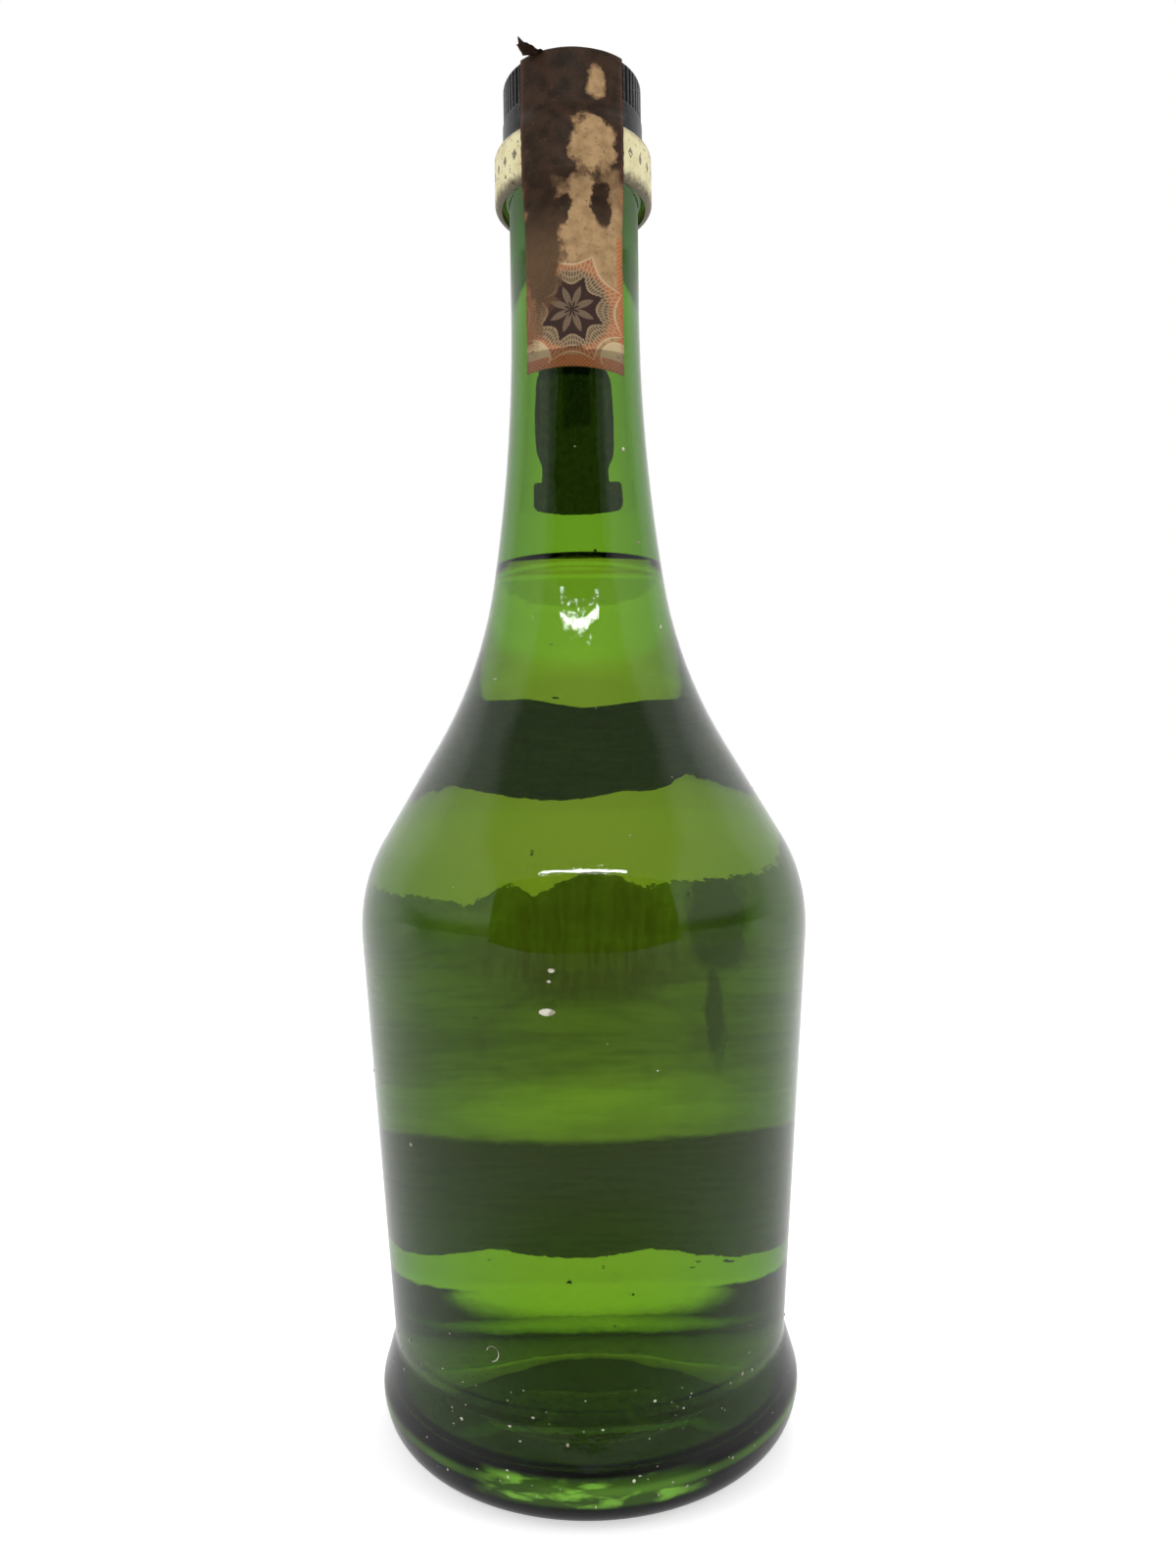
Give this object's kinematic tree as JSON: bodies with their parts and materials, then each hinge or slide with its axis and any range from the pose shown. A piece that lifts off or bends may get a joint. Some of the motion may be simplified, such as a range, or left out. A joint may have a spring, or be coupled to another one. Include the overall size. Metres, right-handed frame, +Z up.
{
  "type": "grappa bottle",
  "caption": "Sealed green glass spirits bottle with a long neck, sloping shoulder, tapering body and flared foot, filled, with a ribbed screw cap, a ring, a paper strip and labels.",
  "frame": {"origin": "middle of the circle the bottle stands on", "axes": "+Z up along the bottle's axis; +Y towards the labels' side; -Y towards the long end of the tax strip"},
  "size_m": [0.096, 0.0961, 0.2879],
  "materials": {
    "green_glass": "clear yellow-green bottle glass, glossy",
    "drink": "clear, nearly colourless spirit",
    "cap_plastic": "black moulded plastic, satin",
    "ring_plastic": "aged cream plastic with grime",
    "strip_paper": "stained brown printed paper",
    "label_paper": "aged cream label paper"
  },
  "bodies": {
    "root": {"bottle_glass": "green_glass", "grappa": "drink", "screw_cap": "cap_plastic", "collar": "ring_plastic", "tax_strip": "strip_paper", "neck_label": "label_paper", "shoulder_label": "label_paper", "body_label": "label_paper"}
  },
  "joints": []
}
